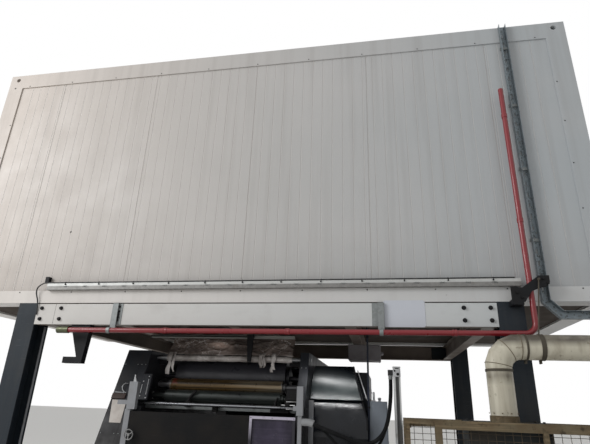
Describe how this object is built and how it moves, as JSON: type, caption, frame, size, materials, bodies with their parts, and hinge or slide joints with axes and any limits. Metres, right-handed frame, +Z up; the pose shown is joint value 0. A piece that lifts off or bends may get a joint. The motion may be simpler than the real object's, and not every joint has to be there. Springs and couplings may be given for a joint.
{
  "type": "flexographic printing press under a platform cabin",
  "caption": "Roll press with a print deck between two side frames, under a steel platform that carries a white insulated cabin, with an extraction duct and guard beside it.",
  "frame": {"origin": "on the floor at the cabin's centre, on the underside of the press base", "axes": "+X along the cabin to the right as seen from the front, +Y into the depth, +Z up"},
  "size_m": [6.055, 3.455, 5.117],
  "materials": {
    "cabin_white": "smooth white coated sheet, dusty",
    "floor_board": "dark coated underside",
    "beam_white": "off-white paint",
    "column_anthracite": "anthracite paint",
    "pipe_red": "deep red paint",
    "fitting_brass": "dull brass",
    "galvanised": "galvanised",
    "black_steel": "satin black",
    "duct_paint": "dirty beige-white paint",
    "rusty_steel": "rusty and dusty",
    "mesh_wire": "dark wire",
    "fan_grey": "dark grey paint",
    "frame_black": "near-black paint",
    "hood_gloss": "glossy dark cover",
    "base_grey": "dark grey paint",
    "plate_gold": "amber plate sleeve",
    "roll_steel": "ground steel",
    "anilox_grey": "fine engraved ceramic grey",
    "impression_dark": "dark blue-grey steel",
    "film_clear": "clear crumpled film",
    "post_grey": "light grey paint",
    "cabinet_grey": "light grey paint",
    "pane": "tinted clear sheet",
    "aluminium_profile": "anodised",
    "wheel_steel": "worn bright steel",
    "pipe_blue": "blue-grey",
    "hose_black": "black rubber"
  },
  "bodies": {
    "press": {"corner_posts": "cabin_white", "bottom_rails": "cabin_white", "top_rails": "cabin_white", "cabin_floor": "floor_board", "cabin_roof": "cabin_white", "wall_front": "cabin_white", "wall_rear": "cabin_white", "end_walls": "cabin_white", "columns": "column_anthracite", "long_beams": "beam_white", "end_beams": "beam_white", "joists": "beam_white", "service_pipe": "pipe_red", "pipe_end_fitting": "fitting_brass", "pipe_hangers": "galvanised", "cable_tray": "galvanised", "cable_riser": "galvanised", "clipped_cables": "hose_black", "corner_arm": "black_steel", "black_hangers": "black_steel", "exhaust_duct": "duct_paint", "duct_flanges": "rusty_steel", "duct_clamps": "galvanised", "guard_posts": "rusty_steel", "guard_rails": "rusty_steel", "guard_mesh": "mesh_wire", "fan_box": "fan_grey", "press_base": "base_grey", "side_frame_left": "frame_black", "side_frame_right": "frame_black", "cross_ties": "roll_steel", "operator_housing": "frame_black", "drive_housing": "frame_black", "drive_hood_lower": "hood_gloss", "drive_hood_upper": "hood_gloss", "film_web": "film_clear", "film_rail": "post_grey", "rear_plate_cylinder": "plate_gold", "rear_steel_rolls": "anilox_grey", "doctor_chambers": "galvanised", "bearing_blocks": "black_steel", "door_posts": "post_grey", "front_panel": "frame_black", "rear_panel": "frame_black", "window_frame": "post_grey", "window_pane": "pane", "control_cabinet": "cabinet_grey", "junction_box": "cabinet_grey", "goose_neck": "post_grey", "wide_hose": "hose_black", "slim_hose": "hose_black", "support_post": "aluminium_profile", "air_pipe": "pipe_blue"},
    "plate_cylinder": {"plate_cylinder": "plate_gold"},
    "impression_roller": {"impression_roller": "impression_dark"},
    "anilox_roll": {"anilox_roll": "anilox_grey"},
    "guide_roller": {"guide_roller": "roll_steel"},
    "film_roller": {"film_roller": "aluminium_profile", "film_wrap": "film_clear"},
    "handwheel": {"handwheel": "wheel_steel"}
  },
  "joints": [
    {"name": "plate_cylinder_spin", "type": "hinge", "parent": "press", "child": "plate_cylinder", "pos_m": [-0.285, -0.8, 1.73], "axis": [1, 0, 0], "continuous": true},
    {"name": "impression_roller_spin", "type": "hinge", "parent": "press", "child": "impression_roller", "pos_m": [-0.285, -0.57562, 1.82065], "axis": [1, 0, 0], "continuous": true},
    {"name": "anilox_roll_spin", "type": "hinge", "parent": "press", "child": "anilox_roll", "pos_m": [-0.285, -0.87819, 1.62992], "axis": [1, 0, 0], "continuous": true},
    {"name": "guide_roller_spin", "type": "hinge", "parent": "press", "child": "guide_roller", "pos_m": [-0.285, -1.02, 1.556], "axis": [1, 0, 0], "continuous": true},
    {"name": "film_roller_spin", "type": "hinge", "parent": "press", "child": "film_roller", "pos_m": [-0.285, -0.8, 1.984], "axis": [1, 0, 0], "continuous": true},
    {"name": "handwheel_spin", "type": "hinge", "parent": "press", "child": "handwheel", "pos_m": [-0.935, -1.352, 1.305], "axis": [0, 1, 0], "continuous": true}
  ]
}
